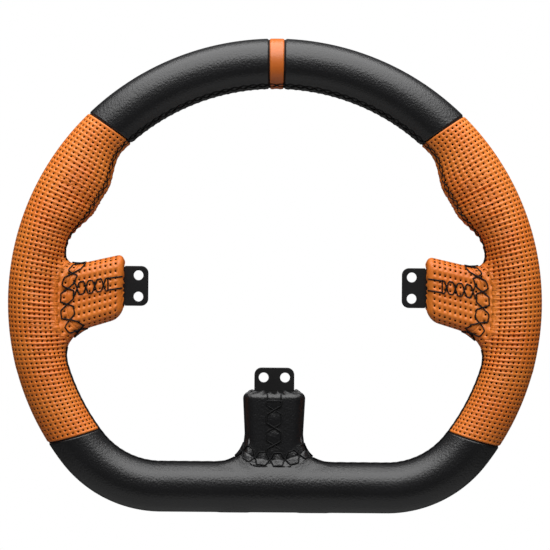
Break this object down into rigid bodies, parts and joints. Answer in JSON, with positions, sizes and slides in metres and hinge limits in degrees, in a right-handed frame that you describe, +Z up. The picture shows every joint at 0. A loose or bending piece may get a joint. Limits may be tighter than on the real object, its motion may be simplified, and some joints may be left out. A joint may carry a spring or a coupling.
{
  "type": "racing wheel rim",
  "caption": "Flat-bottomed racing wheel rim in black and orange stitched leather, with thumb rests and three short spokes whose steel tabs bolt to a hub.",
  "frame": {"origin": "the hub centre, in the plane where the three tabs' rear faces seat on the hub", "axes": "+X to the driver's right, +Y away from the driver along the wheel's axis of rotation, +Z up with the wheel straight"},
  "size_m": [0.2998, 0.03, 0.2661],
  "materials": {
    "black_leather": "fine-grained, satin",
    "orange_leather": "smooth on the stripe, perforated on the grips and side spokes, satin",
    "waxed_thread": "waxed and twisted, black",
    "powder_coat": "fine-textured black powder coat",
    "bare_steel": "mill finish, under the foam",
    "foam": "moulded polyurethane skin"
  },
  "bodies": {
    "root": {"armature_ring": "bare_steel", "foam_core": "foam", "left_tab_plate": "powder_coat", "right_tab_plate": "powder_coat", "bottom_tab_plate": "powder_coat", "left_spoke_sleeve": "orange_leather", "right_spoke_sleeve": "orange_leather", "bottom_spoke_sleeve": "black_leather", "top_left_leather": "black_leather", "top_right_leather": "black_leather", "bottom_leather": "black_leather", "centre_stripe_leather": "orange_leather", "left_grip_leather": "orange_leather", "right_grip_leather": "orange_leather", "left_stripe_joint_thread": "waxed_thread", "right_stripe_joint_thread": "waxed_thread", "left_upper_joint_thread": "waxed_thread", "right_upper_joint_thread": "waxed_thread", "left_lower_joint_thread": "waxed_thread", "right_lower_joint_thread": "waxed_thread", "upper_seam_thread": "waxed_thread", "lower_left_seam_thread": "waxed_thread", "lower_right_seam_thread": "waxed_thread", "left_root_lacing": "waxed_thread", "right_root_lacing": "waxed_thread", "bottom_root_lacing": "waxed_thread", "left_front_lacing": "waxed_thread", "right_front_lacing": "waxed_thread", "bottom_front_lacing": "waxed_thread"}
  },
  "joints": []
}
